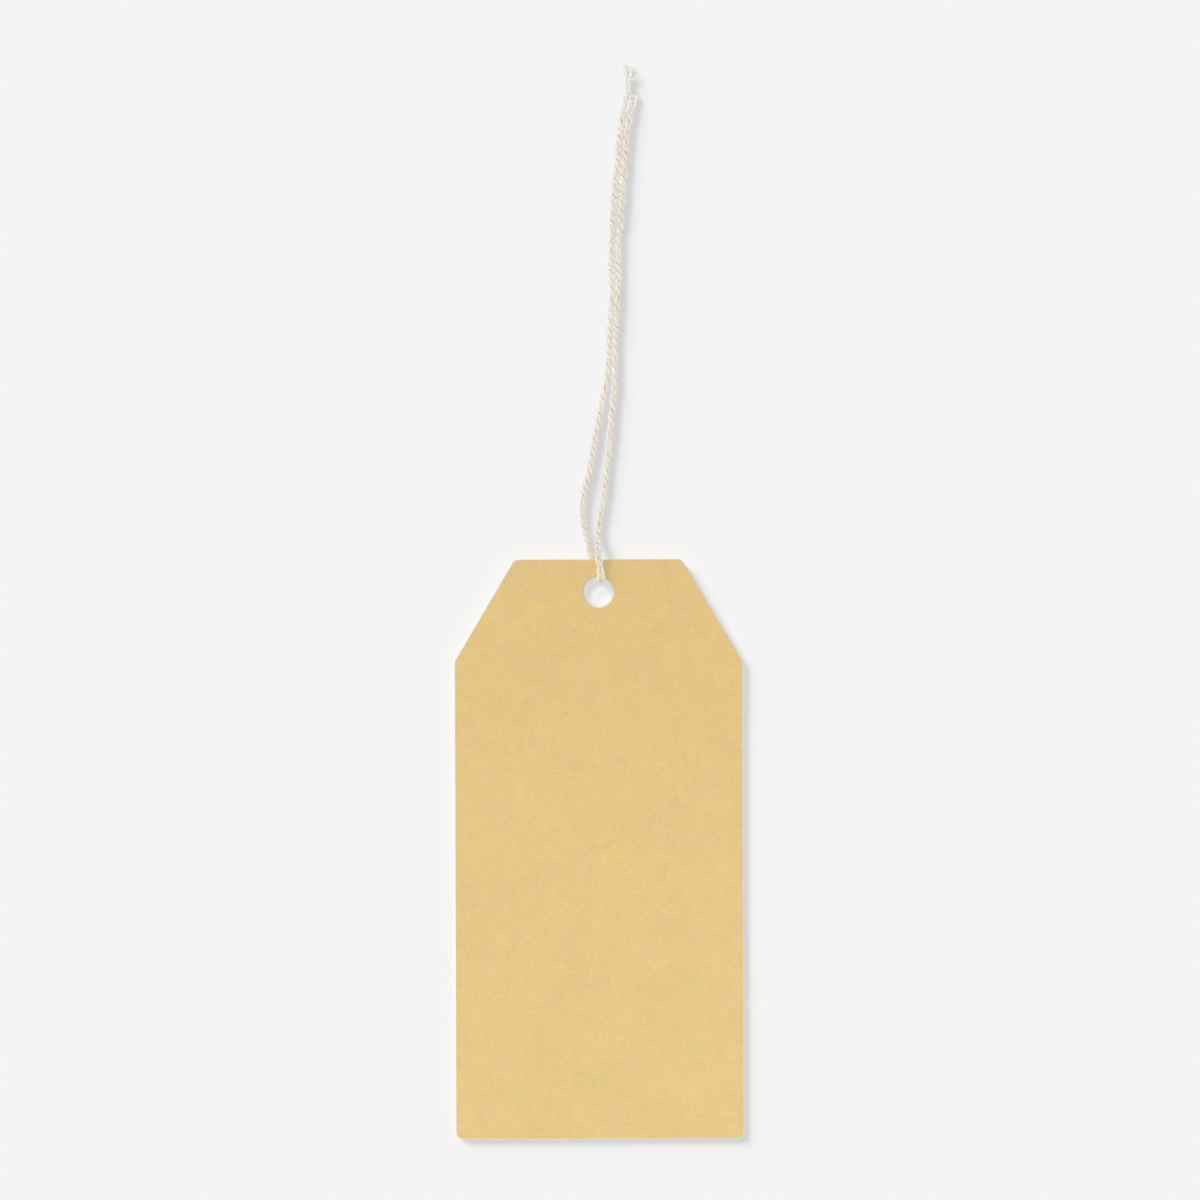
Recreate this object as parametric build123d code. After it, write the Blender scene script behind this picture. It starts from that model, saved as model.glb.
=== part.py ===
from build123d import *
import math
import os

# A gift tag lying face up: X across the card, +Y towards the hole and the string, +Z out of its face.
# The origin is on the table, under the middle of the card.

# Card: one piece of kraft board with clipped shoulders and a punched hole.
# It lies flat, apart from its upper part, which is bent up a little over the string.
card_width = 50.0
card_length = 100.8
card_thickness = 0.75
top_edge_width = 29.0
shoulder_drop = 17.7
corner_radius = 1.1
bend_to_top_edge = 41.4
hole_diameter = 5.3
hole_to_top_edge = 5.6
punched_rim_radius = 0.12

# String: one length of soft cotton, laid once through the hole, with both ends free.
# It is pressed flat where it goes round the bridge of card above the hole, and its legs are round.
string_diameter = 1.0
nipped_width = 1.45
nipped_thickness = 0.45
string_clearance = 0.08
table_clearance = 0.02
turn_offset_x = 0.6
turn_reach = 0.7
front_end_length = 1.6
front_end_width = 1.25
front_end_height = 0.85
back_end_length = 3.2
back_end_width = 1.5
back_end_height = 0.7

# The string's route past the turn in the hole, chosen by hand from the photograph:
# distance to the right of the card's centre line, then distance beyond its top edge.
# The flat stretch in front lies on the card's face, the one behind lies on the table, and so do both legs.
front_nipped_points = [
    (0.38, -0.6),
    (0.15, 1.4),
]
front_leg_points = [
    (0.06, 5.2),
    (0.70, 10.0),
    (1.65, 16.2),
    (2.30, 22.8),
    (2.95, 30.4),
    (3.12, 36.6),
    (3.50, 42.8),
    (3.85, 48.0),
    (3.68, 53.6),
    (4.10, 58.8),
    (4.70, 65.0),
    (4.95, 70.4),
    (5.50, 76.0),
    (6.30, 79.6),
]
back_nipped_points = [
    (0.42, -2.6),
    (-0.10, -1.7),
    (-0.78, -0.6),
]
back_leg_points = [
    (-2.50, 6.2),
    (-2.70, 9.4),
    (-2.15, 12.8),
    (-1.40, 15.6),
    (-0.55, 20.8),
    (0.55, 26.2),
    (1.80, 32.6),
    (2.05, 38.6),
    (2.65, 45.6),
    (2.55, 54.0),
    (2.72, 61.0),
    (3.52, 68.0),
    (4.18, 75.2),
    (5.00, 80.6),
    (5.55, 83.2),
]

# The string springs back to round on the run between its flat stretch and its leg:
# it stays flat up to the first share of that run, and it is round from the second share on
front_spring_shares = [0.24, 0.54]
back_spring_shares = [0.37, 0.72]

# A bend takes this share of the shorter of its two straight runs on each side
bend_run_share = 0.45

# Places up the card, whose back lies on z = 0
half_width = card_width / 2
half_length = card_length / 2
hole_radius = hole_diameter / 2
hole_y = half_length - hole_to_top_edge
hole_rim_y = hole_y + hole_radius
shoulder_y = half_length - shoulder_drop
bend_y = half_length - bend_to_top_edge

# The flat string lies on the table under the bridge,
# so the bend lifts the card by this much at the rim of the hole
prop_height = table_clearance + nipped_thickness + string_clearance
bend_run = hole_rim_y - bend_y
bend_radius = (bend_run**2 + prop_height**2) / (2 * prop_height)


def back_height(y):
    """Height of the card's back above the table at a place up the card."""
    run_past_bend = max(0, y - bend_y)
    return bend_radius - math.sqrt(bend_radius**2 - run_past_bend**2)


def make_sheet():
    """Board before it is cut out: flat, then bent up in one long arc, and larger than the card."""
    sheet_end = half_length + card_thickness
    bend_angle = math.degrees(math.asin((sheet_end - bend_y) / bend_radius))
    back_line = Line((-sheet_end, 0), (bend_y, 0))
    face_line = Line((-sheet_end, card_thickness), (bend_y, card_thickness))
    back_arc = CenterArc((bend_y, bend_radius), bend_radius, -90, bend_angle)
    face_arc = CenterArc((bend_y, bend_radius), bend_radius - card_thickness, -90, bend_angle)
    bottom_end = Line(back_line @ 0, face_line @ 0)
    top_end = Line(back_arc @ 1, face_arc @ 1)
    section = make_face([back_line, back_arc, top_end, face_arc, face_line, bottom_end])
    return extrude(Plane.YZ * section, card_width, both=True)


def make_card():
    """Card cut out of the bent sheet: an oblong panel, a clipped head and a hole punched from the face."""
    panel_middle_y = (shoulder_y - half_length) / 2
    panel_length = half_length + shoulder_y
    head_outline = [
        (-half_width, shoulder_y),
        (half_width, shoulder_y),
        (top_edge_width / 2, half_length),
        (-top_edge_width / 2, half_length),
    ]
    panel = Pos(0, panel_middle_y) * Rectangle(card_width, panel_length)
    head = make_face(Polyline(head_outline, close=True))
    outline = fillet((panel + head).vertices(), corner_radius)
    cutter = extrude(outline - Pos(0, hole_y) * Circle(hole_radius), 10, both=True)
    card = (make_sheet() & cutter).solid()
    hole_wall = card.faces().sort_by_distance((0, hole_y, back_height(hole_y)))[0]
    rim = hole_wall.edges().sort_by(Axis.Z)[-1]
    return fillet(rim, punched_rim_radius)


# Sections of the string: round in the legs, flat where the card nips it
round_section = Circle(string_diameter / 2)
nipped_section = Ellipse(nipped_width / 2, nipped_thickness / 2)


def section_plane(origin, direction):
    """Plane square to the string, whose X axis lies level across it."""
    across = Vector(direction.Y, -direction.X, 0)
    return Plane(origin=origin, x_dir=across, z_dir=direction)


def bend_radii(route):
    """Largest tangent arcs that the straight runs of a route leave room for, one for each corner."""
    radii = []
    for before, corner, after in zip(route, route[1:], route[2:]):
        shorter_run = min((corner - before).length, (after - corner).length)
        turn_angle = (corner - before).get_angle(after - corner)
        radii.append(bend_run_share * shorter_run / math.tan(math.radians(turn_angle / 2)))
    return radii


def make_tube(name, points, radii, section):
    """String of one section along straight runs and tangent arcs."""
    path = FilletPolyline(*points, radius=radii)
    tube = sweep(section_plane(path @ 0, path % 0) * section, path=path)
    expected_volume = section.area * path.length
    print(name, "length", round(path.length, 2))
    print(name, "volume", round(tube.volume, 3), "of", round(expected_volume, 3))
    print(name, "radii", [round(radius, 2) for radius in radii])
    return tube


def make_spring_back(flat_base, round_base, direction):
    """Short stretch where the nipped string springs back from flat to round."""
    flat_face = section_plane(flat_base, direction) * nipped_section
    round_face = section_plane(round_base, direction) * round_section
    return loft([flat_face, round_face])


def make_end(base, direction, length, width, height):
    """Frayed end: the round string opens into a flat fan of loose fibres."""
    base_plane = section_plane(base, direction)
    fan_plane = base_plane.offset(length)
    return loft([base_plane * round_section, fan_plane * Ellipse(width / 2, height / 2)])


def on_table(points, height):
    """Route points of a stretch that lies on the table, at the height of its centre line."""
    return [Vector(x, half_length + beyond, height) for x, beyond in points]


def along(start, end, share):
    """Point at a share of the run from start to end."""
    return start + (end - start) * share


# Heights of the string's centre line: flat on the table, round on the table and flat on the card's face
flat_height = table_clearance + nipped_thickness / 2
round_height = table_clearance + string_diameter / 2


def on_face(points):
    """Route points of the flat stretch that lies on the card's face."""
    above_back = card_thickness + string_clearance + nipped_thickness / 2
    places = [(x, half_length + beyond) for x, beyond in points]
    return [Vector(x, y, back_height(y) + above_back) for x, y in places]


# Flat stretch, from the foot of the front leg's drop through the hole to the back leg
front_nipped = on_face(front_nipped_points)
front_leg = on_table(front_leg_points, round_height)
back_nipped = on_table(back_nipped_points, flat_height)
back_leg = on_table(back_leg_points, round_height)
front_corner = on_face([(turn_offset_x, hole_rim_y - turn_reach - half_length)])[0]
back_corner = Vector(front_corner.X, front_corner.Y, flat_height)
nipped_corners = front_nipped[::-1] + [front_corner, back_corner] + back_nipped

# Runs on which the string springs back, whose ends are the last flat corner and the leg's first corner
front_flat_share, front_round_share = front_spring_shares
back_flat_share, back_round_share = back_spring_shares
front_drop_top = front_nipped[-1]
front_drop_foot = front_leg[0]
back_run_start, back_run_end = on_table([back_nipped_points[-1], back_leg_points[0]], flat_height)
back_rise = Vector(0, 0, round_height - flat_height)

front_flat_end = along(front_drop_top, front_drop_foot, front_flat_share)
front_round_start = along(front_drop_top, front_drop_foot, front_round_share)
back_flat_end = along(back_run_start, back_run_end, back_flat_share)
back_round_start = along(back_run_start, back_run_end, back_round_share) + back_rise

string_turn = make_tube(
    "string_turn",
    [front_flat_end] + nipped_corners + [back_flat_end],
    bend_radii([front_drop_foot] + nipped_corners + [back_run_end]),
    nipped_section,
)
front_tube = make_tube(
    "string_front_leg",
    [front_round_start] + front_leg,
    bend_radii([front_drop_top] + front_leg),
    round_section,
)
back_tube = make_tube(
    "string_back_leg",
    [back_round_start] + back_leg,
    bend_radii([back_run_start + back_rise] + back_leg),
    round_section,
)
front_spring_back = make_spring_back(
    front_flat_end,
    front_round_start,
    (front_drop_foot - front_drop_top).normalized(),
)
back_spring_back = make_spring_back(
    back_flat_end,
    back_round_start,
    (back_run_end - back_run_start).normalized(),
)

nodes = {
    "tag_card": make_card(),
    "string_turn": string_turn,
    "string_front_leg": front_tube + front_spring_back,
    "string_back_leg": back_tube + back_spring_back,
    "string_front_end": make_end(
        front_leg[-1],
        (front_leg[-1] - front_leg[-2]).normalized(),
        front_end_length,
        front_end_width,
        front_end_height,
    ),
    "string_back_end": make_end(
        back_leg[-1],
        (back_leg[-1] - back_leg[-2]).normalized(),
        back_end_length,
        back_end_width,
        back_end_height,
    ),
}

print("bend radius", round(bend_radius, 1), "back at the hole", round(back_height(hole_y), 4))
os.makedirs("parts", exist_ok=True)
for name, solid in nodes.items():
    export_step(solid, f"parts/{name}.step")
    print(name, "volume", round(solid.volume, 3))
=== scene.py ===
# %% [markdown]
# # A kraft gift tag and its cotton string
# The tag is a card with clipped shoulders and one punched hole. A soft two-ply string goes once through
# the hole and lies on the table with both ends free.
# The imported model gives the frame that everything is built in: metres, X across the card, Y up the card
# towards the hole, Z out of its face. The card's own solid is good as it is, so it only needs a finish.
# The string's solids are plain tubes, so real twisted string takes their place.

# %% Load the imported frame
import math
import random

import bpy
import numpy as np
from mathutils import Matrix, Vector


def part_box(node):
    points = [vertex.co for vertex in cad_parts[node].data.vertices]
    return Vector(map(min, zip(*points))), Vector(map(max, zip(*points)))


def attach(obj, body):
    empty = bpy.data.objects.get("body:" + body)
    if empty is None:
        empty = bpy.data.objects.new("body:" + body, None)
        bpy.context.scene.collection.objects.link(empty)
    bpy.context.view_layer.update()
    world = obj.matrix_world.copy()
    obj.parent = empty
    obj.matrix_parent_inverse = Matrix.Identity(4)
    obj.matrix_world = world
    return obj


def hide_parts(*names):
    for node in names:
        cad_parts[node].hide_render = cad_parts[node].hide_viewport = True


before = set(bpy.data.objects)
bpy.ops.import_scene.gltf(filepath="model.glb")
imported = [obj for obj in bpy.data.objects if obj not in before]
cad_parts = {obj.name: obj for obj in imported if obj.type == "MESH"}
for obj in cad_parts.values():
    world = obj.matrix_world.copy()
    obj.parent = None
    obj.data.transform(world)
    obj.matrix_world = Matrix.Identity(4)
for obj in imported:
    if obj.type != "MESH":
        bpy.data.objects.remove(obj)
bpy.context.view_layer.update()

MM = 0.001
print("nodes:", sorted(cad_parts))

# %% [markdown]
# ## Camera
# The picture is taken from straight above with a long lens. A view without perspective would come close, but
# a camera that hangs high over the table is nearer to the real thing. Its lens is worked out from the
# width of table that the picture takes in. The card lies a fifth of a degree askew in the picture, and the
# camera is turned by that much instead of the card.

# %% Hang the camera over the table
card_thickness = 0.75 * MM
camera_height = 900 * MM
seen_width = 209.08 * MM
picture_middle = (0.33 * MM, 43.38 * MM)
picture_lean = 0.0034
sensor_width = 36

card_face_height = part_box("tag_card")[0].z + card_thickness
camera_data = bpy.data.cameras.new("camera_above")
camera_data.sensor_width = sensor_width
camera_data.lens = sensor_width * (camera_height - card_face_height) / seen_width
camera = bpy.data.objects.new("camera_above", camera_data)
camera.location = (*picture_middle, camera_height)
camera.rotation_euler = (0, 0, -picture_lean)
bpy.context.scene.collection.objects.link(camera)
bpy.context.scene.camera = camera
print("lens", round(camera_data.lens, 1), "mm")

# %% [markdown]
# ## The string's line
# A string is a fixed length of something soft, so its line comes first and its threads follow it. It could
# be several curves, one to a stretch as in the solids, but the lay has to run on through all of it, so the
# line is one smooth spline. Its control points follow the route of the solids: from the front end, down the
# front leg, up over the edge of the card, through the hole, back under the bridge of card and along the
# back leg. They were moved sideways, by a few tenths of a millimetre at most, and a few were added
# at the ends and over the bridge, so that the edges of the string fall where they do in the picture.

# %% Place the control points
front_end_to_hole = [
    (0.00648, 0.13155, 0.00046),
    (0.00626, 0.13020, 0.00052),
    (0.00576, 0.12840, 0.00054),
    (0.00546, 0.12640, 0.00054),
    (0.00526, 0.12400, 0.00054),
    (0.00495, 0.12080, 0.00054),
    (0.00460, 0.11540, 0.00054),
    (0.00407, 0.10920, 0.00054),
    (0.00362, 0.10400, 0.00054),
    (0.00376, 0.09840, 0.00054),
    (0.00338, 0.09320, 0.00054),
    (0.00300, 0.08700, 0.00054),
    (0.00298, 0.08080, 0.00054),
    (0.00222, 0.07320, 0.00054),
    (0.00163, 0.06660, 0.00054),
    (0.00084, 0.06040, 0.00054),
    (0.00012, 0.05640, 0.00054),
    (0.00006, 0.05440, 0.00060),
    (0.00006, 0.05300, 0.00122),
    (0.00008, 0.05160, 0.00206),
    (0.00034, 0.04970, 0.00184),
]
turn_in_hole = [
    (0.00060, 0.04665, 0.00154),
    (0.00060, 0.04665, 0.00025),
]
hole_to_back_end = [
    (0.00042, 0.04780, 0.00025),
    (-0.00010, 0.04870, 0.00025),
    (-0.00078, 0.04980, 0.00025),
    (-0.00130, 0.05180, 0.00026),
    (-0.00205, 0.05480, 0.00046),
    (-0.00260, 0.05680, 0.00054),
    (-0.00273, 0.05980, 0.00054),
    (-0.00214, 0.06320, 0.00054),
    (-0.00128, 0.06600, 0.00054),
    (-0.00053, 0.07120, 0.00054),
    (0.00062, 0.07660, 0.00054),
    (0.00188, 0.08300, 0.00054),
    (0.00213, 0.08900, 0.00054),
    (0.00268, 0.09600, 0.00054),
    (0.00259, 0.10440, 0.00054),
    (0.00282, 0.11140, 0.00054),
    (0.00358, 0.11840, 0.00054),
    (0.00416, 0.12520, 0.00054),
    (0.00466, 0.12780, 0.00054),
    (0.00510, 0.12990, 0.00054),
    (0.00542, 0.13150, 0.00054),
    (0.00554, 0.13320, 0.00054),
    (0.00548, 0.13490, 0.00056),
    (0.00544, 0.13660, 0.00054),
]
route = front_end_to_hole + turn_in_hole + hole_to_back_end
print("the line has", len(route), "control points")

# %% Draw the spline
smooth_order = 3
points_on_a_span = 48


def add_spline(curve, places):
    """Add a smooth open spline with these control points, and give back its points."""
    spline = curve.splines.new("NURBS")
    spline.points.add(len(places) - 1)
    for point, place in zip(spline.points, places):
        point.co = (*place, 1)
    spline.order_u = smooth_order
    spline.use_endpoint_u = True
    return spline.points


def mesh_of(thing):
    """Make a plain mesh of an object as it is drawn, and remove the object."""
    bpy.context.scene.collection.objects.link(thing)
    bpy.context.view_layer.update()
    drawn = thing.evaluated_get(bpy.context.evaluated_depsgraph_get())
    mesh = bpy.data.meshes.new_from_object(drawn)
    bpy.data.objects.remove(thing)
    return mesh


line_data = bpy.data.curves.new("string_line", "CURVE")
line_data.dimensions = "3D"
line_data.resolution_u = points_on_a_span
add_spline(line_data, route)
line_mesh = mesh_of(bpy.data.objects.new("string_line", line_data))
line_points = np.array([vertex.co for vertex in line_mesh.vertices])
bpy.data.meshes.remove(line_mesh)
bpy.data.curves.remove(line_data)
print("the spline has", len(line_points), "points")

# %% Space its points evenly
step = 0.15 * MM

run_lengths = np.linalg.norm(np.diff(line_points, axis=0), axis=1)
travelled = np.concatenate([[0], np.cumsum(run_lengths)])
string_length = travelled[-1]
along = np.linspace(0, string_length, int(string_length / step) + 1)
centre = np.stack([np.interp(along, travelled, line_points[:, axis]) for axis in range(3)], axis=1)
print("string length", round(string_length / MM, 1), "mm,", len(centre), "points")

# %% [markdown]
# ## Directions across the string
# Threads that turn round the string need two directions at every point of its line: one level across it
# and one square to both. Working each out afresh would let them flip where the string turns back on itself
# in the hole, so the first one is carried along from point to point.

# %% Carry the two cross directions along the line
steepest_level_run = 0.5

tangent = np.gradient(centre, along, axis=0)
tangent /= np.linalg.norm(tangent, axis=1)[:, None]
across = np.zeros_like(centre)
carried = np.array([-1.0, 0.0, 0.0])
for place, direction in enumerate(tangent):
    carried = carried - direction * carried.dot(direction)
    level = np.array([direction[1], -direction[0], 0.0])
    if abs(direction[2]) < steepest_level_run:
        carried = level * math.copysign(1, level.dot(carried))
    carried = carried / np.linalg.norm(carried)
    across[place] = carried
upward = np.cross(across, tangent)
print("least level part of the cross direction", round(float(np.hypot(*across[:, :2].T).min()), 3))

# %% [markdown]
# ## How the string lies
# The string is two soft plies laid together. On the table it is round, and the plies wind round each other
# once in about 3 mm, leaning like the middle stroke of the letter S. Where the card nips it, over the bridge
# and under it, it is pressed flat and its lay is held back. Towards its cut ends it loosens and spreads, and
# its plies end side by side. A finished rope bent along a curve would be the same all along, so these changes
# are worked out for every point of the line and handed on to the threads as attributes.

# %% Find where the card presses the string
card_top_edge = 50.4 * MM
front_flat_past_edge = (-0.2 * MM, 1.6 * MM)
back_flat_past_edge = (0.8 * MM, 4.6 * MM)
front_lay_starts_past_edge = (-4.5 * MM, 1.5 * MM)
back_lay_starts_past_edge = (-1.0 * MM, 1.0 * MM)


def smooth_rise(value, low, high):
    """Rise smoothly from 0 at low to 1 at high."""
    share = np.clip((value - low) / (high - low), 0, 1)
    return share * share * (3 - 2 * share)


past_edge = centre[:, 1] - card_top_edge
turn_index = int(np.argmin(centre[:, 1]))
in_front = np.arange(len(along)) < turn_index
front_flatness = 1 - smooth_rise(past_edge, *front_flat_past_edge)
back_flatness = 1 - smooth_rise(past_edge, *back_flat_past_edge)
flatness = np.where(in_front, front_flatness, back_flatness)
front_held = 1 - smooth_rise(past_edge, *front_lay_starts_past_edge)
back_held = 1 - smooth_rise(past_edge, *back_lay_starts_past_edge)
held = np.where(in_front, front_held, back_held)
print("pressed over", round(float(flatness.sum()) * step / MM, 1), "mm")

# %% Find where the ends loosen and fray
front_loose_length = 8.0 * MM
back_loose_length = 11.0 * MM
front_open_length = 1.0 * MM
back_open_length = 4.0 * MM
front_fray_length = 2.2 * MM
back_fray_length = 4.0 * MM

front_loose = 1 - smooth_rise(along, front_open_length, front_loose_length)
back_loose = smooth_rise(along, string_length - back_loose_length, string_length - back_open_length)
loose = front_loose + back_loose
front_fray = 1 - smooth_rise(along, 0, front_fray_length)
back_fray = smooth_rise(along, string_length - back_fray_length, string_length)
fray = front_fray + back_fray
print("loosened over", round(float(loose.sum()) * step / MM, 1), "mm")

# %% Make the string uneven
uneven_waves = 14
wave_lengths = (3, 18)
lay_wander = 0.07
thickness_wander = 0.013
swell_middle = 114 * MM
swell_run = 7 * MM
swell_share = 0.18

wander = np.zeros_like(along)
thickness = np.ones_like(along)
chance = random.Random(7)
for wave in range(uneven_waves):
    wave_length = chance.uniform(*wave_lengths) * MM
    phase = chance.uniform(0, 2 * math.pi)
    wave_shape = np.sin(2 * math.pi * along / wave_length + phase)
    wander += lay_wander * wave_shape
    thickness += thickness_wander * wave_shape


def hump(middle, run):
    """A soft hump about one place on both legs."""
    return np.exp(-(((centre[:, 1] - middle) / run) ** 2))


thickness += swell_share * hump(swell_middle, swell_run)
print("thickness from", round(float(thickness.min()), 2), "to", round(float(thickness.max()), 2))

# %% Set its width and height
flat_width_share = 1.32
front_thickness_share = 0.55
back_thickness_share = 0.38
bridge_height = 1.3 * MM
loose_widening = 0.2
spread_middle = 128 * MM
spread_run = 3.5 * MM
spread_widening = 0.25
loose_thinning = 0.15
fray_thinning = 0.15
string_reach = 0.56 * MM
room_below = 0.03 * MM

width_share = thickness * (1 + (flat_width_share - 1) * flatness)
width_share *= 1 + loose_widening * loose
width_share *= 1 + spread_widening * hump(spread_middle, spread_run)
over_bridge = in_front & (centre[:, 2] > bridge_height)
flat_thickness = np.where(over_bridge, front_thickness_share, back_thickness_share)
height_share = thickness * (1 + (flat_thickness - 1) * flatness)
height_share *= 1 - loose_thinning * loose - fray_thinning * fray
height_share = np.minimum(height_share, (centre[:, 2] - room_below) / string_reach)
print("height from", round(float(height_share.min()), 2), "to", round(float(height_share.max()), 2))

# %% Wind the plies
lay_length = 3.0 * MM
ply_own_lay_length = 4.4 * MM
held_slowing = 0.8
loose_slowing = 0.85

own_angle = -2 * math.pi * along / ply_own_lay_length
lay_rate = 2 * math.pi / lay_length * (1 + wander) * (1 - held_slowing * held) * (1 - loose_slowing * loose)
lay_angle = np.cumsum(lay_rate) * (along[1] - along[0])
lay_angle -= lay_angle[turn_index]
for end, from_turn in ((0, along[turn_index] - along), (-1, along - along[turn_index])):
    to_side_by_side = round(lay_angle[end] / math.pi) * math.pi - lay_angle[end]
    lay_angle += to_side_by_side * smooth_rise(from_turn, 0, from_turn[end])
print("turns of the plies", round(float(np.ptp(lay_angle)) / (2 * math.pi), 1))

# %% [markdown]
# ## Sums with sockets
# Node trees for shapes and for finishes both need sums. A small class stands for one socket, and Python's
# own signs on it add Math nodes, so a rule reads as it would on paper. Every other node comes from one
# method that sets the node's settings first and then its sockets.

# %% Make sockets that can be summed


def feed(socket, value):
    """Link a wire to a socket, or give the socket its own value."""
    if isinstance(value, Wire):
        socket.id_data.links.new(value.socket, socket)
    else:
        socket.default_value = value


class Wire:
    """A socket that sums can be done with."""

    def __init__(self, socket):
        self.socket = socket

    def other(self, name):
        """Another output of the same node."""
        return Wire(self.socket.node.outputs[name])

    def sum(self, operation, *values):
        """The result of a new Math node in the same tree."""
        node = self.socket.id_data.nodes.new("ShaderNodeMath")
        node.operation = operation
        for socket, value in zip(node.inputs, values):
            feed(socket, value)
        return Wire(node.outputs[0])

    def __add__(self, value):
        return self.sum("ADD", self, value)

    def __radd__(self, value):
        return self.sum("ADD", value, self)

    def __sub__(self, value):
        return self.sum("SUBTRACT", self, value)

    def __rsub__(self, value):
        return self.sum("SUBTRACT", value, self)

    def __mul__(self, value):
        return self.sum("MULTIPLY", self, value)

    def __rmul__(self, value):
        return self.sum("MULTIPLY", value, self)

    def __truediv__(self, value):
        return self.sum("DIVIDE", self, value)

    def cosine(self):
        return self.sum("COSINE", self)

    def sine(self):
        return self.sum("SINE", self)

    def whole(self):
        return self.sum("FLOOR", self)

    def size(self):
        return self.sum("ABSOLUTE", self)

    def at_least(self, value):
        return self.sum("MAXIMUM", self, value)

    def above(self, value):
        return self.sum("GREATER_THAN", self, value)


print("sockets can be summed")

# %% Make a bench for node trees


class Bench:
    """The node tree that is being built."""

    def __init__(self, tree):
        self.tree = tree

    def node(self, kind, settings=None, sockets=None, output=0):
        """Add a node: its settings first, then its sockets, and give back one of its outputs."""
        node = self.tree.nodes.new(kind)
        for name, value in (settings or {}).items():
            if name == "stops":
                fill_ramp(node.color_ramp, value)
            else:
                setattr(node, name, value)
        for name, value in (sockets or {}).items():
            feed(node.inputs[name], value)
        return Wire(node.outputs[output]) if len(node.outputs) else node


def fill_ramp(ramp, stops):
    """Give a ramp its places and colours."""
    while len(ramp.elements) < len(stops):
        ramp.elements.new(1.0)
    for element, (place, colour) in zip(ramp.elements, stops):
        element.position = place
        element.color = (*colour, 1)


print("bench ready")

# %% [markdown]
# ## Cotton finish
# Undyed cotton is a matt cream that runs from beige in the hollows to near white on single fibres; the beige
# in the hollows is partly its own colour and partly painted shade. The sides of the string are painted paler,
# a painted light for what shines through their thin edges, and its loosened ends are paler, partly their own
# colour and partly painted light.
# Where the card presses the string, a warm tint is painted for the light that the kraft reflects onto it. One
# colour with a bump would make every thread look the same. Here each thread carries its own shade as an
# attribute, and two noises add soiling and fibres along it.

# %% Start a finish


def new_finish(name):
    """Start a node material and give back it, its bench and its shader."""
    material = bpy.data.materials.new(name)
    material.use_nodes = True
    tree = material.node_tree
    return material, Bench(tree), tree.nodes["Principled BSDF"]


def blend(factor, first, second, kind="MIX"):
    """Mix two colours, each a wire or three numbers, by a factor."""
    first, second = [colour if isinstance(colour, Wire) else (*colour, 1) for colour in (first, second)]
    settings = {"data_type": "RGBA", "blend_type": kind, "clamp_factor": True}
    return bench.node("ShaderNodeMix", settings, {0: factor, 6: first, 7: second}, output=2)


def thread_value(name):
    """A value that the threads carry."""
    return bench.node("ShaderNodeAttribute", {"attribute_name": name}, output="Fac")


print("finishes can be mixed")

# %% Mix the cotton
cotton_groove_and_shade = (0.76, 0.655, 0.535)
cotton_beige = (0.83, 0.75, 0.635)
cotton_cream = (0.87, 0.815, 0.715)
cotton_pale = (0.90, 0.87, 0.79)
cotton_loose = (0.94, 0.93, 0.88)
kraft_reflected_light = (1.0, 0.96, 0.885)
cotton_stops = [
    (0.02, cotton_groove_and_shade),
    (0.25, cotton_beige),
    (0.5, cotton_cream),
    (0.8, cotton_pale),
    (1.0, cotton_loose),
]
middle_tone = 0.53
shade_weight = 0.3
depth_weight = 0.4
fibre_weight = 0.45
soiling_weight = 0.9
loose_evenness = 0.7
loose_paleness_and_light = 0.34
side_painted_light = 0.35

cotton, bench, shader = new_finish("cotton_string")
place = bench.node("ShaderNodeTexCoord", output="Object")
shade = thread_value("strand_shade")
depth = thread_value("strand_depth")
side = thread_value("strand_side")
loosened = thread_value("loose")
rubbed = thread_value("rubbed")
fibre_sizes = {"Vector": place, "Scale": 5200, "Detail": 4, "Roughness": 0.65}
fibres = bench.node("ShaderNodeTexNoise", sockets=fibre_sizes)
soiling = bench.node("ShaderNodeTexNoise", sockets={"Vector": place, "Scale": 260, "Detail": 3})
spotted = (fibres - 0.5) * fibre_weight + (soiling - 0.5) * soiling_weight
# Deep threads are darker: partly the cotton's own beige, partly painted shade in the hollows between the
# plies.
tone = middle_tone + (shade - 0.5) * shade_weight - depth * depth_weight
tone = tone + spotted * (1 - loosened * loose_evenness)
# Painted light: the sides of the string are painted paler for what shines through their thin edges; loosened
# ends are paler, partly their own colour and partly painted light.
tone = tone + loosened * loose_paleness_and_light + side * side * side_painted_light
colour = bench.node("ShaderNodeValToRGB", {"stops": cotton_stops}, {"Fac": tone})
# Painted reflected light: a warm kraft tint where the card presses the string.
colour = blend(rubbed, colour, kraft_reflected_light, "MULTIPLY")
feed(shader.inputs["Base Color"], colour)
feed(shader.inputs["Roughness"], 0.82 + fibres * 0.15)
bump = bench.node("ShaderNodeBump", sockets={"Strength": 0.35, "Distance": 0.03 * MM, "Height": fibres})
feed(shader.inputs["Normal"], bump)
shader.inputs["Specular IOR Level"].default_value = 0.2
shader.inputs["Sheen Weight"].default_value = 0.25
shader.inputs["Sheen Roughness"].default_value = 0.6
print("cotton mixed with", len(cotton.node_tree.nodes), "nodes")

# %% [markdown]
# ## Threads from Geometry Nodes
# A ply is a bundle of loosely spun threads, and the string is two plies. Modelling sixteen threads by hand
# would be slow to change, so a node tree copies the line once for every thread and moves each copy out by
# rule: round its ply, and with its ply round the string. Each thread keeps its shade, how deep it lies in its
# ply and how far to the side, for the finish.

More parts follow.
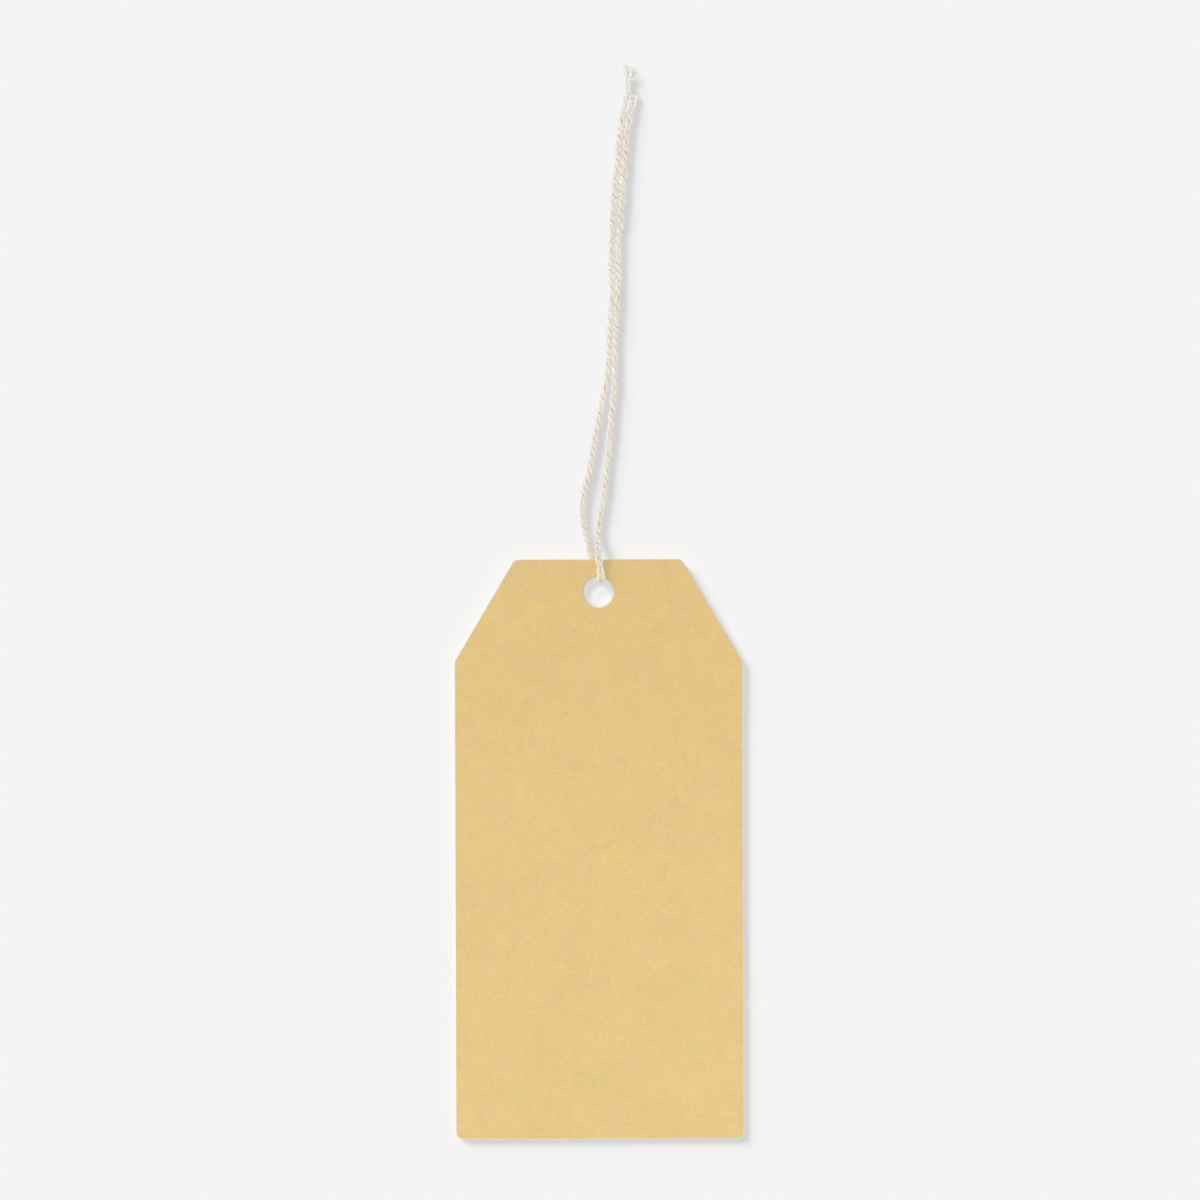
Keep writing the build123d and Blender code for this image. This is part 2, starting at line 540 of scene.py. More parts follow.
# %% Start the thread tree
string_tree = bpy.data.node_groups.new("threads_on_a_line", "GeometryNodeTree")
thread_inputs = {
    "Line": "NodeSocketGeometry",
    "Plies": "NodeSocketInt",
    "Threads in a ply": "NodeSocketInt",
    "Ply reach": "NodeSocketFloat",
    "Thread reach out": "NodeSocketFloat",
    "Thread reach aside": "NodeSocketFloat",
    "Thread radius": "NodeSocketFloat",
    "Ripple": "NodeSocketFloat",
    "Fray spread": "NodeSocketFloat",
    "Uneven end": "NodeSocketFloat",
    "Hairs on a square metre": "NodeSocketFloat",
    "Hair length": "NodeSocketFloat",
    "Hair radius": "NodeSocketFloat",
    "Seed": "NodeSocketInt",
    "Finish": "NodeSocketMaterial",
}
for name, kind in thread_inputs.items():
    string_tree.interface.new_socket(name, in_out="INPUT", socket_type=kind)
string_tree.interface.new_socket("String", in_out="OUTPUT", socket_type="NodeSocketGeometry")
bench = Bench(string_tree)
given = bench.node("NodeGroupInput", output="Line")
print("thread tree has", len(thread_inputs), "inputs")

# %% Make short words for its nodes


def read(name, kind="FLOAT"):
    """Read an attribute of the line's points."""
    return bench.node("GeometryNodeInputNamedAttribute", {"data_type": kind}, {"Name": name})


def store(geometry, name, value, kind="FLOAT", domain="POINT"):
    """Keep a value on a geometry under a name."""
    settings = {"data_type": kind, "domain": domain}
    sockets = {"Geometry": geometry, "Name": name, "Value": value}
    return bench.node("GeometryNodeStoreNamedAttribute", settings, sockets)


def chance_of_thread(low, high, salt):
    """A random number for each thread."""
    sockets = {2: low, 3: high, "ID": thread_index, "Seed": given.other("Seed") + salt}
    return bench.node("FunctionNodeRandomValue", sockets=sockets, output=1)


def scaled(vector, factor):
    """A vector times a number."""
    return bench.node("ShaderNodeVectorMath", {"operation": "SCALE"}, {0: vector, "Scale": factor})


def vector_sum(first, second):
    """Two vectors added."""
    return bench.node("ShaderNodeVectorMath", {"operation": "ADD"}, {0: first, 1: second})


def vector_of(x, y, z):
    """Three numbers as a vector."""
    return bench.node("ShaderNodeCombineXYZ", sockets={"X": x, "Y": y, "Z": z})


def with_body(lines, sides, radius):
    """Lines with a round body of so many sides."""
    ring = bench.node("GeometryNodeCurvePrimitiveCircle", sockets={"Resolution": sides, "Radius": 1})
    sockets = {"Curve": lines, "Profile Curve": ring, "Scale": radius, "Fill Caps": True}
    return bench.node("GeometryNodeCurveToMesh", sockets=sockets)


print("nodes can be added by name")

# %% Copy the line for every thread and move the copies out
second_ply_turn = 0.4
thinnest_thread = 0.8
thickest_thread = 1.15

line = bench.node("GeometryNodeMeshToCurve", sockets={"Mesh": given})
thread_count = given.other("Plies") * given.other("Threads in a ply")
threads = bench.node(
    "GeometryNodeDuplicateElements", {"domain": "SPLINE"}, {"Geometry": line, "Amount": thread_count}
)
thread_index = threads.other("Duplicate Index")
ply_number = (thread_index / given.other("Threads in a ply")).whole()
ply_angle = read("lay") + ply_number * (2 * math.pi) / given.other("Plies")
thread_share = thread_index / given.other("Threads in a ply") - ply_number
thread_angle = read("own_twist") + thread_share * (2 * math.pi) + ply_number * second_ply_turn
size_chance = chance_of_thread(thinnest_thread, thickest_thread, salt=1)
out = given.other("Ply reach") + given.other("Thread reach out") * thread_angle.cosine() * size_chance
aside = given.other("Thread reach aside") * thread_angle.sine() * size_chance
sideways = out * ply_angle.cosine() - aside * ply_angle.sine()
upwards = out * ply_angle.sine() + aside * ply_angle.cosine()

fray_amount = read("fray")
stray = chance_of_thread(-1, 1, salt=2) * fray_amount * given.other("Fray spread")
sideways_move = scaled(read("across", "FLOAT_VECTOR"), sideways * read("wide") + stray)
upward_move = scaled(read("upward", "FLOAT_VECTOR"), upwards * read("thin"))
outward = vector_sum(sideways_move, upward_move)
print("threads are wound by", len(string_tree.nodes), "nodes")

# %% Ripple the threads and give them a body
ripple_scale = 900
ripple_shift_x = 0.0137
ripple_shift_z = 0.0071
noise_to_middle = (-0.5, -0.5, -0.5)
thread_sides = 6
fray_slimming = 0.3

position = bench.node("GeometryNodeInputPosition")
thread_shift = vector_of(thread_index * ripple_shift_x, 0, thread_index * ripple_shift_z)
ripple_sizes = {"Vector": vector_sum(position, thread_shift), "Scale": ripple_scale, "Detail": 2}
ripple_noise = bench.node("ShaderNodeTexNoise", sockets=ripple_sizes, output="Color")
ripple = scaled(vector_sum(ripple_noise, noise_to_middle), given.other("Ripple"))
thread_depth = (0.5 - 0.5 * thread_angle.cosine()) * (1 - read("open"))
thread_side = sideways.size() / (given.other("Ply reach") + given.other("Thread reach out"))
threads = store(threads, "outward", outward, kind="FLOAT_VECTOR")
threads = store(threads, "strand_shade", chance_of_thread(0, 1, salt=3), domain="CURVE")
threads = store(threads, "strand_depth", thread_depth)
threads = store(threads, "strand_side", thread_side)
threads = bench.node(
    "GeometryNodeSetPosition", sockets={"Geometry": threads, "Offset": vector_sum(outward, ripple)}
)
threads = bench.node(
    "GeometryNodeTrimCurve",
    {"mode": "FACTOR"},
    {"Curve": threads, 3: 1 - chance_of_thread(0, 1, salt=4) * given.other("Uneven end")},
)
girth = given.other("Thread radius") * size_chance * (1 - fray_amount * fray_slimming)
skin = with_body(threads, thread_sides, girth)
print("threads have a body after", len(string_tree.nodes), "nodes")

# %% [markdown]
# ## Hairs on the string
# Spun cotton is never clean-edged: fibre ends stand out from it. The same tree scatters points on the outer
# threads and sets a bent, tapered hair on each. A particle system would do as well, but it leaves no mesh to
# export, so nodes are used here too. Where the card presses the string, its hairs are rubbed short, which
# also leaves the card free to swing.

# %% Make one hair
hair_bend_x = 0.1
hair_bend_z = 0.5
hair_tip_x = 0.55
hair_tip_z = 0.8
hair_pieces = 4
hair_sides = 3
hair_taper = 0.7

hair_length = given.other("Hair length")
hair_bend = vector_of(hair_length * hair_bend_x, 0, hair_length * hair_bend_z)
hair_tip = vector_of(hair_length * hair_tip_x, 0, hair_length * hair_tip_z)
hair_line = bench.node(
    "GeometryNodeCurveQuadraticBezier",
    sockets={"Resolution": hair_pieces, "Start": (0, 0, 0), "Middle": hair_bend, "End": hair_tip},
)
hair_along = bench.node("GeometryNodeSplineParameter")
hair_girth = given.other("Hair radius") * (1 - hair_along * hair_taper)
hair = with_body(hair_line, hair_sides, hair_girth)
print("a hair has", hair_sides, "sides")

# %% Set hairs on the outer threads
outer_facing = 0.6
hair_lean = 1.2
shortest_hair = 0.35
longest_hair = 1.3
rubbed_off = 0.85

normal = bench.node("GeometryNodeInputNormal")
out_direction = bench.node(
    "ShaderNodeVectorMath", {"operation": "NORMALIZE"}, {0: read("outward", "FLOAT_VECTOR")}
)
facing_out = bench.node(
    "ShaderNodeVectorMath", {"operation": "DOT_PRODUCT"}, {0: normal, 1: out_direction}, output="Value"
)
roots = bench.node(
    "GeometryNodeDistributePointsOnFaces",
    sockets={
        "Mesh": skin,
        "Selection": facing_out.above(outer_facing),
        "Density": given.other("Hairs on a square metre"),
        "Seed": given.other("Seed"),
    },
)
least_lean = (-hair_lean, -hair_lean, 0)
most_lean = (hair_lean, hair_lean, 2 * math.pi)
leans = {0: least_lean, 1: most_lean, "Seed": given.other("Seed") + 5}
lean = bench.node("FunctionNodeRandomValue", {"data_type": "FLOAT_VECTOR"}, leans)
lean_turn = bench.node("FunctionNodeEulerToRotation", sockets={"Euler": lean})
hair_turn = bench.node(
    "FunctionNodeRotateRotation",
    {"rotation_space": "LOCAL"},
    {"Rotation": roots.other("Rotation"), "Rotate By": lean_turn},
)
hair_sizes = {2: shortest_hair, 3: longest_hair, "Seed": given.other("Seed") + 6}
hair_size = bench.node("FunctionNodeRandomValue", sockets=hair_sizes, output=1)
hair_size = hair_size * (1 - read("rubbed") * rubbed_off)
hair_scale = vector_of(hair_size, hair_size, hair_size)
hairs = bench.node(
    "GeometryNodeInstanceOnPoints",
    sockets={"Points": roots, "Instance": hair, "Rotation": hair_turn, "Scale": hair_scale},
)
hairs = bench.node("GeometryNodeRealizeInstances", sockets={"Geometry": hairs})
hairs = store(hairs, "strand_shade", 1.0)
print("hairs are set after", len(string_tree.nodes), "nodes")

# %% Join threads and hairs and close the tree
table_gap = 0.015 * MM

joined = bench.node("GeometryNodeJoinGeometry", sockets={"Geometry": skin})
string_tree.links.new(hairs.socket, joined.socket.node.inputs[0])
corner = bench.node("ShaderNodeSeparateXYZ", sockets={"Vector": position})
lifted = vector_of(corner, corner.other("Y"), corner.other("Z").at_least(table_gap))
joined = bench.node("GeometryNodeSetPosition", sockets={"Geometry": joined, "Position": lifted})
joined = bench.node("GeometryNodeRemoveAttribute", sockets={"Geometry": joined, "Name": "outward"})
joined = bench.node("GeometryNodeSetShadeSmooth", sockets={"Geometry": joined})
joined = bench.node(
    "GeometryNodeSetMaterial", sockets={"Geometry": joined, "Material": given.other("Finish")}
)
bench.node("NodeGroupOutput", sockets={"String": joined})
print("thread tree has", len(string_tree.nodes), "nodes")

# %% [markdown]
# ## The two halves of the string
# The string leaves the hole on both sides of the card. One mesh for all of it would need a cord that starts
# twice, so it is cut in two in the hole, where no one sees the join, and each half is a cord that starts
# there. The line's points and their attributes go into an edge mesh, the tree dresses it, and the result
# becomes a plain mesh.

# %% Gather what the tree needs
loose_openness = 0.9

line_facts = {
    "lay": lay_angle,
    "own_twist": own_angle,
    "wide": width_share,
    "thin": height_share,
    "fray": fray,
    "open": loose_openness * loose,
    "loose": loose,
    "rubbed": flatness,
    "across": across,
    "upward": upward,
}
thread_sizes = {
    "Plies": 2,
    "Threads in a ply": 8,
    "Ply reach": 0.27 * MM,
    "Thread reach out": 0.19 * MM,
    "Thread reach aside": 0.35 * MM,
    "Thread radius": 0.1 * MM,
    "Ripple": 0.05 * MM,
    "Hairs on a square metre": 3.4e6,
    "Hair length": 0.55 * MM,
    "Hair radius": 0.012 * MM,
    "Finish": cotton,
}
print("the line carries", ", ".join(line_facts))

# %% Dress both halves


def new_piece(name, mesh):
    """Put a mesh into the scene."""
    mesh.name = name
    piece = bpy.data.objects.new(name, mesh)
    bpy.context.scene.collection.objects.link(piece)
    return piece


def dress_half(name, order, fray_spread, uneven_end, seed):
    """Lay threads and hairs along part of the line, and give back the piece and the line as it is seen."""
    points = centre[order]
    half_mesh = bpy.data.meshes.new(name + "_line")
    edges = [(place, place + 1) for place in range(len(points) - 1)]
    half_mesh.from_pydata(points.tolist(), edges, [])
    for fact, values in line_facts.items():
        kind = "FLOAT" if values.ndim == 1 else "FLOAT_VECTOR"
        attribute = half_mesh.attributes.new(fact, kind, "POINT")
        attribute.data.foreach_set("value" if values.ndim == 1 else "vector", values[order].ravel())
    holder = bpy.data.objects.new(name + "_line", half_mesh)
    modifier = holder.modifiers.new("threads", "NODES")
    modifier.node_group = string_tree
    sizes = dict(thread_sizes)
    sizes["Fray spread"] = fray_spread
    sizes["Uneven end"] = uneven_end / (len(points) * step)
    sizes["Seed"] = seed
    for socket in string_tree.interface.items_tree:
        if socket.in_out == "INPUT" and socket.name in sizes:
            modifier[socket.identifier] = sizes[socket.name]
    mesh = mesh_of(holder)
    bpy.data.meshes.remove(half_mesh)
    triangles = sum(len(polygon.vertices) - 2 for polygon in mesh.polygons)
    print(name, "has", triangles, "triangles over", round(len(points) * step / MM, 1), "mm")
    points_cut_off = int(0.5 * uneven_end / step)
    return new_piece(name, mesh), points[: len(points) - points_cut_off]


front_order = np.arange(turn_index, -1, -1)
back_order = np.arange(turn_index, len(centre))
front_string, front_path = dress_half(
    "front_string", front_order, fray_spread=0.1 * MM, uneven_end=0.5 * MM, seed=11
)
back_string, back_path = dress_half(
    "back_string", back_order, fray_spread=0.12 * MM, uneven_end=0.7 * MM, seed=23
)

# %% [markdown]
# ## Loose fibres
# Fibres come loose from the string where it was cut and where its legs rub together. Hair particles would
# leave no mesh, so each loose fibre is a short curve with its own bend, and a bevel gives it a tapered
# round body before it becomes a mesh. Between the legs the fibres lie along the gap and close it, as in
# the picture.

# %% Turn lines into fibres
fibre_pieces = 3
fibre_bevel_pieces = 1
fibre_taper = 0.6
fibre_shades = (0.1, 1.0)


def loose_fibres(name, fibres):
    """Turn lists of (points, radius) into one mesh of tapered fibres."""
    curve = bpy.data.curves.new(name + "_lines", "CURVE")
    curve.dimensions = "3D"
    curve.resolution_u = fibre_pieces
    curve.bevel_depth = 1.0
    curve.bevel_resolution = fibre_bevel_pieces
    curve.use_fill_caps = True
    for places, radius in fibres:
        for number, point in enumerate(add_spline(curve, places)):
            point.radius = radius * (1 - fibre_taper * number / (len(places) - 1))
    mesh = mesh_of(bpy.data.objects.new(name + "_lines", curve))
    bpy.data.curves.remove(curve)
    shade_chance = random.Random(len(fibres))
    shades = [shade_chance.uniform(*fibre_shades) for fibre in fibres]
    corners_of_a_fibre = len(mesh.vertices) // len(fibres)
    shade_values = mesh.attributes.new("strand_shade", "FLOAT", "POINT")
    shade_values.data.foreach_set("value", np.repeat(shades, corners_of_a_fibre))
    looseness = mesh.attributes.new("loose", "FLOAT", "POINT")
    looseness.data.foreach_set("value", np.ones(len(mesh.vertices)))
    mesh.shade_smooth()
    mesh.materials.append(cotton)
    print(name, "has", len(fibres), "fibres and", len(mesh.polygons), "faces")
    return new_piece(name, mesh)


# %% Lay fibres between the legs
between_count = 110
between_starts = (80, 126)
between_lengths = (3, 7)
between_aside = (-0.14, 0.14)
between_heights = (0.35, 0.8)
between_bends = (-0.1, 0.1)
between_radii = (0.03, 0.06)

front_leg = centre[:turn_index][::-1]
back_leg = centre[turn_index:]
chance = random.Random(59)
between_fibres = []
for number in range(between_count):
    lowest = chance.uniform(*between_starts) * MM
    reach = chance.uniform(*between_lengths) * MM
    aside = chance.uniform(*between_aside) * MM
    height = chance.uniform(*between_heights) * MM
    points = []
    for share in (0, 0.25, 0.5, 0.75, 1):
        y = lowest + reach * share
        front_x = np.interp(y, front_leg[:, 1], front_leg[:, 0])
        back_x = np.interp(y, back_leg[:, 1], back_leg[:, 0])
        middle = 0.5 * (front_x + back_x)
        points.append((middle + aside + chance.uniform(*between_bends) * MM, y, height))
    between_fibres.append((points, chance.uniform(*between_radii) * MM))
fibres_between_legs = loose_fibres("fibres_between_legs", between_fibres)

# %% [markdown]
# ## Frayed ends
# Where the string was cut, its fibres lie open like a flat brush: the front end is short and blunt, the back
# end longer and cut straight, with one stray bundle that stands off to the right. Threads that simply stop
# would look like a cut cable, so a fan of loose fibres, each with its own length and bend, covers each end.

# %% Make a fan of fibres
fan_order = 0.7
fan_mix = 0.3
root_heights = (-0.12, 0.14)
fan_bends = (-0.14, 0.14)
fan_waves = (-0.05, 0.07)
fan_radii = (0.025, 0.05)
least_height = 0.035 * MM


def fan(chance, root, heading, count, lengths, spread, root_width, tip_height):
    """Fibres that leave a root point round a heading, in a flat fan near the table."""
    fibres = []
    side = Vector((heading.y, -heading.x, 0))
    for number in range(count):
        offset = chance.uniform(-1, 1)
        angle = spread * (fan_order * offset + fan_mix * chance.uniform(-1, 1))
        start = root + side * offset * root_width + Vector((0, 0, chance.uniform(*root_heights) * MM))
        direction = heading * math.cos(angle) + side * math.sin(angle)
        bend = side * chance.uniform(*fan_bends)
        reach = chance.uniform(*lengths)
        points = []
        for share in (0, 0.3, 0.65, 1):
            place = start + (direction + bend * share) * reach * share
            height = start.z + (tip_height - start.z) * share + chance.uniform(*fan_waves) * MM * share
            points.append((place.x, place.y, max(height, least_height)))
        fibres.append((points, chance.uniform(*fan_radii) * MM))
    return fibres


print("fibres can be fanned out")

# %% Fray the front end
heading_point = 6

front_heading = Vector((-tangent[heading_point][0], -tangent[heading_point][1], 0)).normalized()
front_fibres = fan(
    random.Random(31),
    root=Vector(centre[0]) - front_heading * 1.5 * MM,
    heading=front_heading,
    count=40,
    lengths=(1.0 * MM, 1.7 * MM),
    spread=0.18,
    root_width=0.5 * MM,
    tip_height=0.4 * MM,
)
front_frayed_fibres = loose_fibres("front_frayed_fibres", front_fibres)

# %% Fray the back end and add its stray bundle
back_heading = Vector((0, 1, 0))
stray_radius = 0.055 * MM

back_fibres = fan(
    random.Random(47),
    root=Vector(centre[-1]) - back_heading * 2.6 * MM,
    heading=back_heading,
    count=60,
    lengths=(2.4 * MM, 3.0 * MM),
    spread=0.06,
    root_width=0.48 * MM,
    tip_height=0.5 * MM,
)
stray_threads = [
    [(5.9, 133.4, 0.60), (6.3, 134.0, 0.75), (6.8, 134.4, 0.85), (7.6, 135.2, 0.65)],
    [(5.9, 133.6, 0.55), (6.3, 134.2, 0.70), (6.7, 134.5, 0.80), (7.4, 135.4, 0.60)],
    [(6.0, 133.3, 0.50), (6.4, 133.8, 0.70), (6.9, 134.2, 0.75), (7.5, 134.8, 0.55)],
    [(5.9, 133.5, 0.65), (6.3, 134.1, 0.80), (6.8, 134.5, 0.85), (7.3, 135.0, 0.70)],
]
for thread in stray_threads:
    back_fibres.append(([tuple(value * MM for value in place) for place in thread], stray_radius))
back_frayed_fibres = loose_fibres("back_frayed_fibres", back_fibres)

# %% [markdown]
# ## What the string pieces stand for
# The plain tubes of the imported model stay for motion, and the twisted string hides them. The real length
# of each half is measured along its line and printed. The string has lamps of its own further down, so it
# throws no light back on the card and the table.

# %% Ride and replace
string_pieces = {
    front_string: ("string_front_leg", "string_turn"),
    front_frayed_fibres: ("string_front_end",),
    back_string: ("string_back_leg",),
    back_frayed_fibres: ("string_back_end",),
    fibres_between_legs: (),
}
for piece, nodes in string_pieces.items():
    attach(piece, "string")
    piece.visible_diffuse = False
    if nodes:
        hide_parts(*nodes)
for half, path, fibres in (
    (front_string, front_path, [front_frayed_fibres, fibres_between_legs]),
    (back_string, back_path, [back_frayed_fibres]),
):
    half_length = float(np.linalg.norm(np.diff(path, axis=0), axis=1).sum())
    print(half.name, round(half_length / MM, 1), "mm long")

# %% [markdown]
# ## Kraft finish
# Kraft board is brown pulp with its fibres still showing: soft yellow and pinkish patches about a millimetre
# across, faint streaks along the run of the paper machine and a fine tooth. This card is a little darker
# towards its hole. A scanned picture could give all that, but a few noises in the card's own coordinates do
# as well at any size. The cut edge shows the layered inside, and the wall of the hole is painted paler: a
# painted highlight for the light it catches.

# %% Spread noises over the card
run_of_paper_stretch = (0.75, 1.0, 1.0)
board_layers_stretch = (1.0, 1.0, 9.0)

kraft, bench, shader = new_finish("kraft_card")
place = bench.node("ShaderNodeTexCoord", output="Object")
facing = bench.node("ShaderNodeTexCoord", output="Normal")
run_of_paper = bench.node("ShaderNodeMapping", sockets={"Vector": place, "Scale": run_of_paper_stretch})
board_layers = bench.node("ShaderNodeMapping", sockets={"Vector": place, "Scale": board_layers_stretch})


def noise(vector, wave_length, detail=1.0, roughness=0.5):
    """Noise about its middle, with patches about a wave length across."""
    sockets = {"Vector": vector, "Scale": 1 / wave_length, "Detail": detail, "Roughness": roughness}
    return bench.node("ShaderNodeTexNoise", sockets=sockets) - 0.5


tooth = noise(place, 0.42 * MM, 2.0, 0.6)
fibres = noise(run_of_paper, 0.9 * MM, 2.0, 0.6)
patches = noise(place, 3.2 * MM, 2.0, 0.6)
clouds = noise(place, 16 * MM)
hue = noise(run_of_paper, 1.9 * MM, 3.0, 0.55)
flecks = noise(run_of_paper, 0.35 * MM, 1.0)
layers = noise(board_layers, 0.9 * MM, 3.0)
print("kraft has", len(kraft.node_tree.nodes), "nodes so far")

# %% Colour the faces of the card
kraft_foot = (0.794, 0.578, 0.2495)
kraft_head = (0.764, 0.547, 0.2335)
kraft_pink_tint = (1.005, 0.972, 1.085)
kraft_yellow_tint = (0.996, 1.026, 0.910)
kraft_fleck = (0.850, 0.675, 0.380)
tone_starts_at = -32 * MM
tone_run = 82 * MM
hue_contrast = 2.2
tooth_weight = 0.17
streak_weight = 0.13
patch_weight = 0.1
cloud_weight = 0.06
fleck_limit = 0.17
fleck_sharpness = 3.0


def rise(value, start, end):
    """Rise from 0 where a value is at its start to 1 at its end."""
    return bench.node("ShaderNodeMapRange", sockets={"Value": value, 1: start, 2: end, 3: 0.0, 4: 1.0})


height_on_card = bench.node("ShaderNodeSeparateXYZ", sockets={"Vector": place}).other("Y")
head_share = rise(height_on_card, tone_starts_at, tone_starts_at + tone_run)
body = blend(head_share, kraft_foot, kraft_head)
tint = blend(hue * hue_contrast + 0.5, kraft_pink_tint, kraft_yellow_tint)
body = blend(1.0, body, tint, "MULTIPLY")
light_and_dark = 1 + tooth * tooth_weight + fibres * streak_weight
light_and_dark = light_and_dark + patches * patch_weight + clouds * cloud_weight
body = blend(1.0, body, light_and_dark, "MULTIPLY")
body = blend((flecks - fleck_limit) * fleck_sharpness, body, kraft_fleck)
print("faces coloured")

# %% Colour the cut edges and the hole
kraft_inside = (0.620, 0.430, 0.195)
kraft_inside_pale = (0.710, 0.540, 0.310)
hole_wall_painted_highlight = (0.920, 0.830, 0.660)
level_facing = 0.99
edge_facing = 0.75
layer_contrast = 2.2
layer_middle = 0.65
hole_middle = (0, 44.8 * MM, 1.0 * MM)
hole_wall_reach = 3.4 * MM


def distance(first, second):
    """How far two places are apart."""
    places = {0: first, 1: second}
    return bench.node("ShaderNodeVectorMath", {"operation": "DISTANCE"}, places, output="Value")


upright = bench.node("ShaderNodeSeparateXYZ", sockets={"Vector": facing}).other("Z")
on_edge = rise(upright.size(), level_facing, edge_facing)
inside = blend(layers * layer_contrast + layer_middle, kraft_inside, kraft_inside_pale)
# Painted highlight: the wall of the hole is made pale for the light it catches.
in_hole = 1 - distance(place, hole_middle).above(hole_wall_reach)
inside = blend(in_hole, inside, hole_wall_painted_highlight)
feed(shader.inputs["Base Color"], blend(on_edge, body, inside))
print("edges coloured")

# %% Roughen the card and hand the finish over
tooth_relief = 0.6
fibre_relief = 0.5
layer_relief = 1.5

feed(shader.inputs["Roughness"], 0.86 + tooth * 0.2)
relief = tooth * tooth_relief + fibres * fibre_relief + on_edge * layers * layer_relief
bump = bench.node("ShaderNodeBump", sockets={"Strength": 0.25, "Distance": 0.02 * MM, "Height": relief})
feed(shader.inputs["Normal"], bump)
shader.inputs["Specular IOR Level"].default_value = 0.25
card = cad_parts["tag_card"]
card.data.materials.clear()
card.data.materials.append(kraft)
print("kraft mixed with", len(kraft.node_tree.nodes), "nodes")

# %% [markdown]
# ## Table
# The tag lies on plain white paper, which belongs to the stage. A sheet with edges could be modelled, but
# they are never seen, so one large face does for it.

# %% Lay the table
table_albedo = 0.905
table_reach = 1.5
table_drop = 0.01 * MM

table_corners = [(-1, -1), (1, -1), (1, 1), (-1, 1)]
table_places = [(x * table_reach, y * table_reach, -table_drop) for x, y in table_corners]
table_mesh = bpy.data.meshes.new("white_table")
table_mesh.from_pydata(table_places, [], [(0, 1, 2, 3)])
table = new_piece("white_table", table_mesh)
white_paper, bench, shader = new_finish("white_paper")
place = bench.node("ShaderNodeTexCoord", output="Object")
paper_noise = bench.node("ShaderNodeTexNoise", sockets={"Vector": place, "Scale": 900, "Detail": 2})
feed(shader.inputs["Roughness"], 0.9 + paper_noise * 0.08)
shader.inputs["Base Color"].default_value = (table_albedo, table_albedo, table_albedo, 1)
shader.inputs["Specular IOR Level"].default_value = 0.0
table_mesh.materials.append(white_paper)
print("table is", 2 * table_reach, "m wide")

# %% [markdown]
# ## Light in the hole
# In the picture the paper under the hole is bright, with a grey crescent at the upper left. The raised rim of
# this card shades more of it than that. Lowering the rim would press the string, so the paper itself glows
# faintly where light is missing: along part of a ring, most in the middle of that part.

# %% Let the paper glow under the hole
hole_glow = 0.13
ring_middle = (1.2 * MM, 43.2 * MM, 0)
ring_radius = 2.3 * MM
ring_core = 0.1 * MM
ring_reach = 1.0 * MM
brightest_place = (-0.3 * MM, 45.0 * MM, 0)
brightest_core = 0.6 * MM
brightest_reach = 2.9 * MM


def fade(value, full, gone):
    """Fall smoothly from 1 at full to 0 at gone."""
    ends = {"Value": value, 1: full, 2: gone, 3: 1.0, 4: 0.0}
    return bench.node("ShaderNodeMapRange", {"interpolation_type": "SMOOTHSTEP"}, ends)


off_ring = (distance(place, ring_middle) - ring_radius).size()
crescent = fade(off_ring, ring_core, ring_reach)
crescent = crescent * fade(distance(place, brightest_place), brightest_core, brightest_reach)
feed(shader.inputs["Emission Color"], crescent * hole_glow)
shader.inputs["Emission Strength"].default_value = 1.0
white_paper.cycles.emission_sampling = "NONE"
print("paper mixed with", len(white_paper.node_tree.nodes), "nodes")

# %% [markdown]
# ## World and lamps
# Most of the light comes from straight above, and a smaller share from a low lamp at the upper left, which
# draws the thin shadows to the right of and below each edge. Wide suns give the same light all over the
# table, as in the picture. One set of lamps for everything would be simpler, but the picture's shadows
# differ from piece to piece, so each lamp is linked to the table, the card or the string. Table and card
# have an overhead lamp each, because one lamp for both gives mottled paper. The string has a soft dome, a
# second one without shadows and a little light from the side.

# %% Light the world
ambient_light = 0.09

world = bpy.data.worlds.new("studio")
world.use_nodes = True
bpy.context.scene.world = world
bench = Bench(world.node_tree)
ray = bench.node("ShaderNodeLightPath", output="Is Camera Ray")
seen = ray.at_least(ray.other("Is Glossy Ray")).at_least(ray.other("Is Transmission Ray"))
background = world.node_tree.nodes["Background"]
feed(background.inputs["Strength"], ambient_light + seen * (table_albedo - ambient_light))
background.inputs["Color"].default_value = (1, 1, 1, 1)
bpy.context.scene.view_settings.view_transform = "Standard"
print("world lights with", ambient_light)

# %% Make suns that light one kind of piece
upper_left = math.radians(135)


def linked(name, pieces):
    """A collection that tells a lamp which pieces it is for."""
    chosen = bpy.data.collections.new(name)
    for piece in pieces:
        chosen.objects.link(piece)
    return chosen


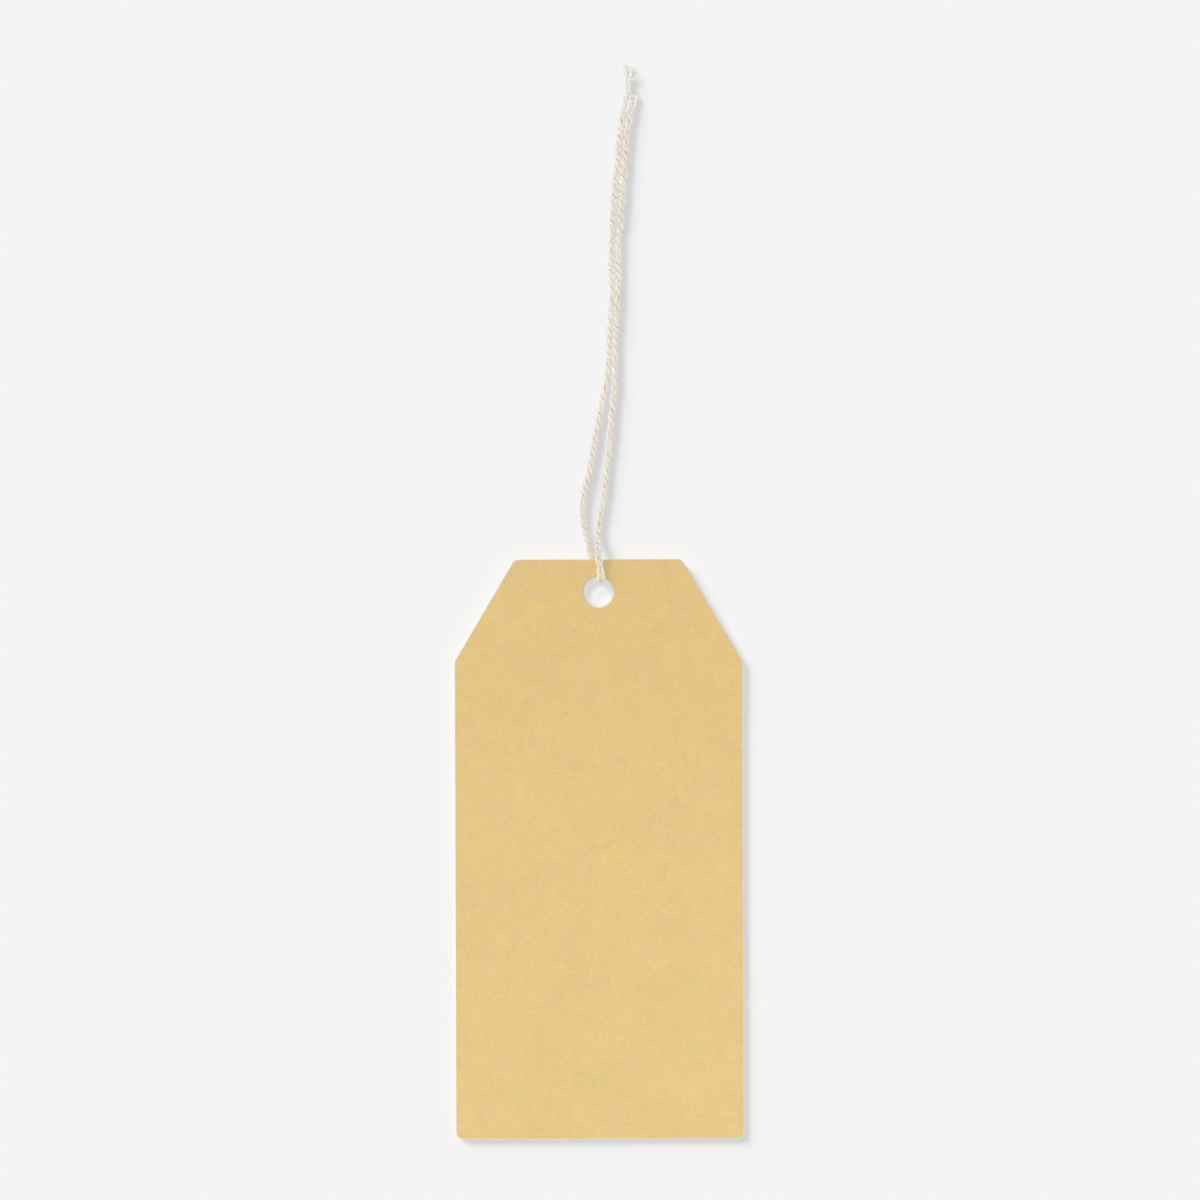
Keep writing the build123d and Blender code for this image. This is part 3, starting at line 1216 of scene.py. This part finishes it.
def add_sun(name, strength, spread, height, receiver, blocker=None):
    """Hang a sun at the upper left, with its spread and its height over the table in degrees."""
    lamp_data = bpy.data.lights.new(name, "SUN")
    lamp_data.energy = strength * math.pi / math.sin(math.radians(height))
    lamp_data.angle = math.radians(spread)
    lamp = bpy.data.objects.new(name, lamp_data)
    lamp.rotation_euler = (math.pi / 2 - math.radians(height), 0, upper_left + math.pi / 2)
    lamp.light_linking.receiver_collection = receiver
    if blocker:
        lamp.light_linking.blocker_collection = blocker
    bpy.context.scene.collection.objects.link(lamp)
    return lamp


only_string = linked("only_string", string_pieces)
only_card = linked("only_card", [card])
only_table = linked("only_table", [table])
print("lamps can be linked")

# %% Hang the lamps for the table and the card
straight_down = 90
overhead_light = 0.62
overhead_spread = 12
low_light = 0.29
low_spread = 25
low_height = 21.5
card_low_light = 0.23
card_edge_light = 0.07
card_low_height = 15.5
card_fill_spread = 26

for name, receiver in (("overhead_on_table", only_table), ("overhead_on_card", only_card)):
    add_sun(name, overhead_light, overhead_spread, straight_down, receiver, blocker=only_card)
low_lamp = add_sun("low_lamp", low_light, low_spread, low_height, only_table)
card_main_light = card_low_light - card_edge_light
card_low_lamp = add_sun("card_low_lamp", card_main_light, low_spread, card_low_height, only_card)
add_sun("card_edge_lamp", card_edge_light, low_spread, card_low_height, only_card)
add_sun("card_fill", low_light - card_low_light, card_fill_spread, straight_down, only_card)
print("light on the table adds up to", round(ambient_light + overhead_light + low_light, 3))

# %% Hang the lamps for the string
dome_light = 0.38
glow_light = 0.52
dome_spread = 150
side_light = 0.12
side_spread = 40
side_height = 32

string_dome = add_sun("string_dome", dome_light, dome_spread, straight_down, only_string, only_string)
string_glow = add_sun("string_glow", glow_light, dome_spread, straight_down, only_string, only_string)
string_glow.data.use_shadow = False
string_side = add_sun("string_side", side_light, side_spread, side_height, only_string, only_string)
for lamp in (low_lamp, card_low_lamp, string_dome, string_glow, string_side):
    lamp.data.cycles.max_bounces = 0
    lamp.data.cycles.use_multiple_importance_sampling = False
print("light on the string adds up to", round(dome_light + glow_light + side_light, 3))
